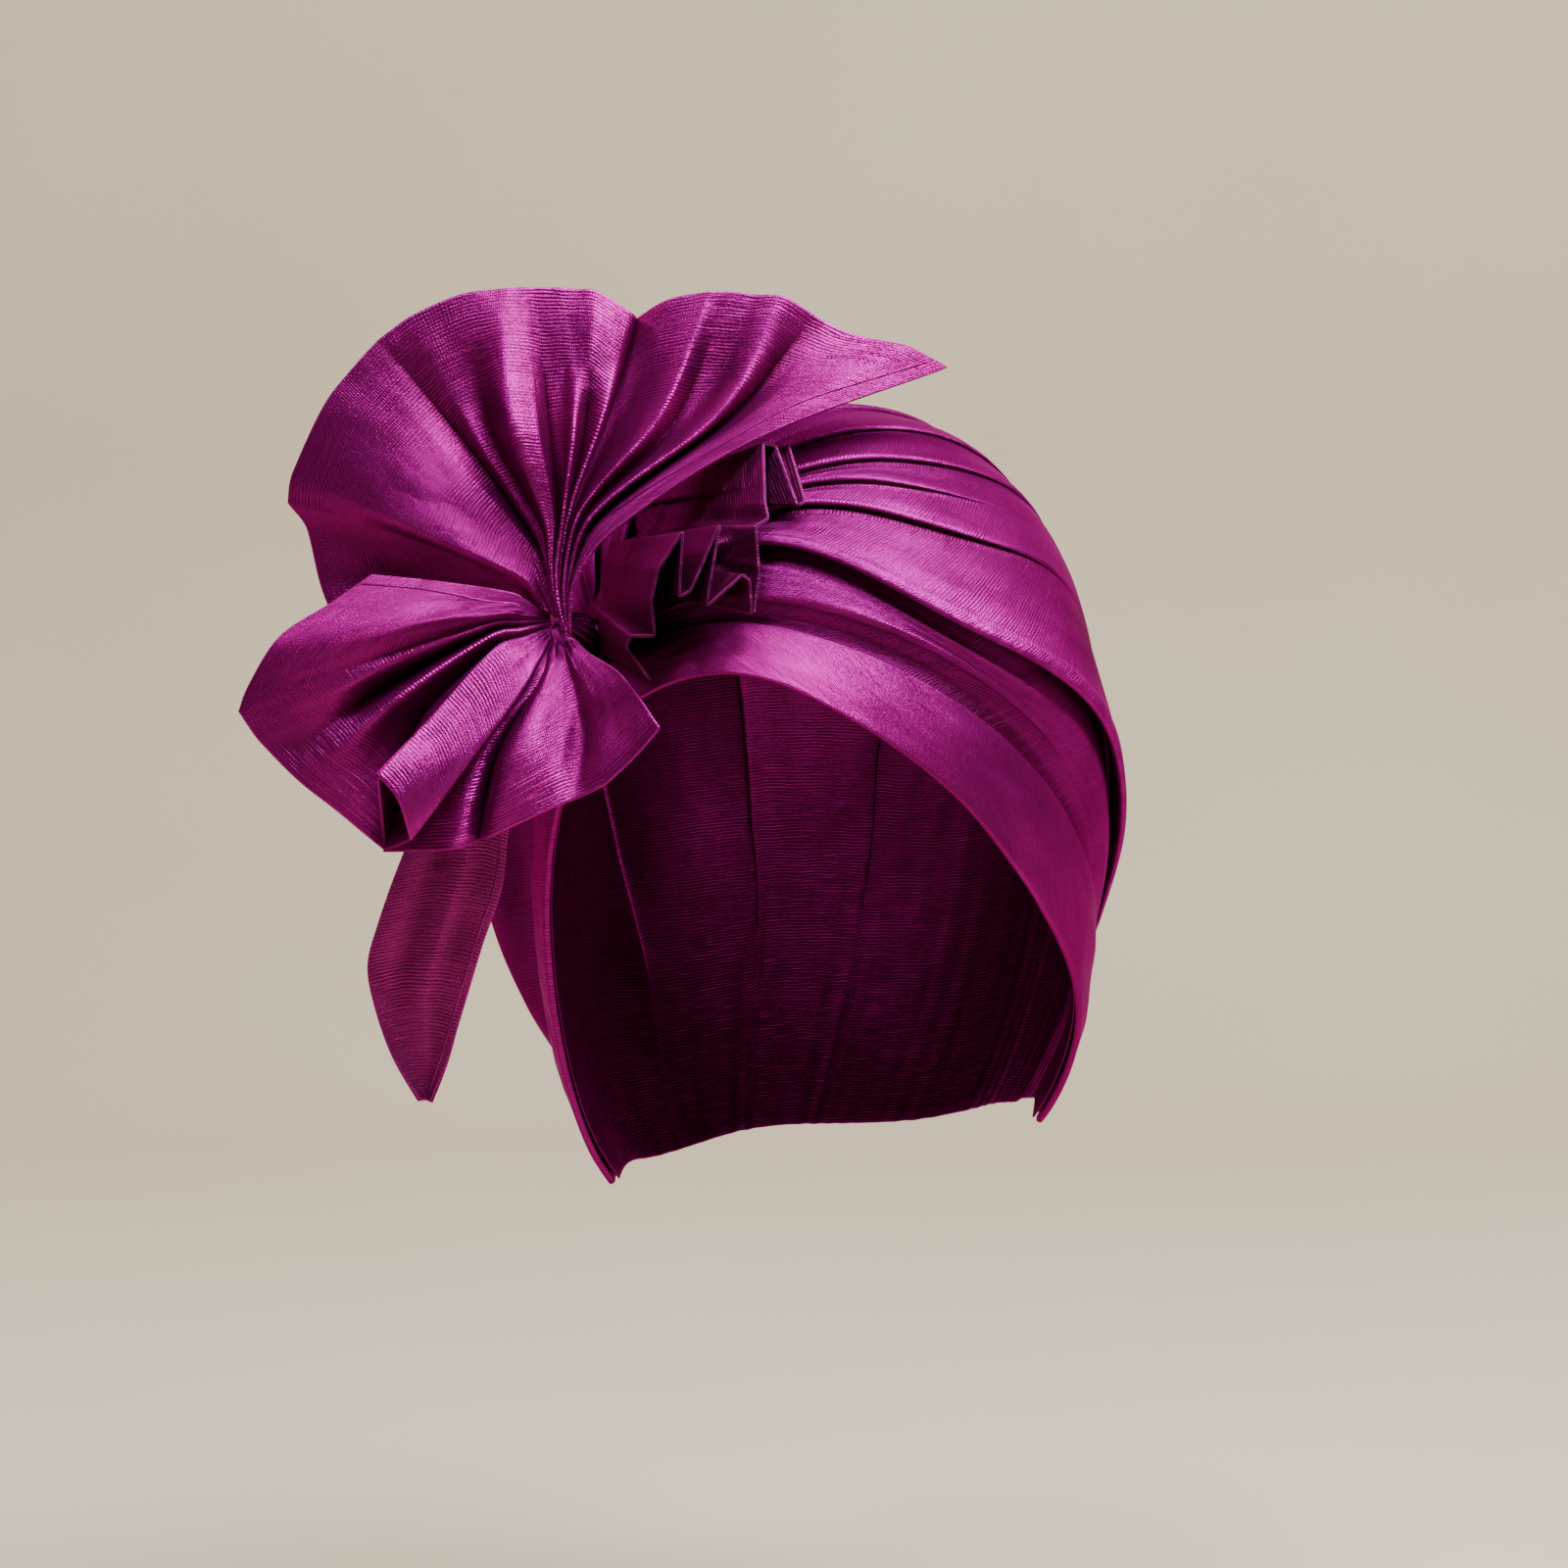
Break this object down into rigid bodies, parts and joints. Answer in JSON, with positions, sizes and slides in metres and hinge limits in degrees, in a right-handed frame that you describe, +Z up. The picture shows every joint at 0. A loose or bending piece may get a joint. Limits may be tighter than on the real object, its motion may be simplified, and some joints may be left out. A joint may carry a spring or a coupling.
{
  "type": "tied pleated head wrap",
  "caption": "Head wrap of crisp shot silk: pleated crown, folded brow band, and a standing fan bow with zigzag ruffles and a pointed tail tied at one side.",
  "frame": {"origin": "inside top of the crown, where the top of the wearer's head meets it", "axes": "+Z up, -Y towards the viewer in front of the face, +X to the viewer's right; the bow is on the -X side"},
  "size_m": [0.2527, 0.2081, 0.2658],
  "materials": {
    "crown_silk": "crisp shot silk, magenta with purple depth, soft satin lustre",
    "band_silk": "crisp shot silk, magenta with purple depth, soft satin lustre",
    "fold_silk": "crisp shot silk, magenta with purple depth, soft satin lustre",
    "bow_silk": "crisp shot silk, magenta with purple depth, soft satin lustre",
    "ruffle_silk": "crisp shot silk, magenta with purple depth, soft satin lustre",
    "tail_silk": "crisp shot silk, magenta with purple depth, soft satin lustre",
    "knot_silk": "crisp shot silk, magenta with purple depth, soft satin lustre"
  },
  "bodies": {
    "root": {"crown_wrap": "crown_silk", "brow_band": "band_silk", "side_fold": "fold_silk", "knot": "knot_silk", "upper_fan": "bow_silk", "lower_fan": "bow_silk", "ruffle_lower": "ruffle_silk", "ruffle_upper": "ruffle_silk", "tail": "tail_silk"}
  },
  "joints": []
}
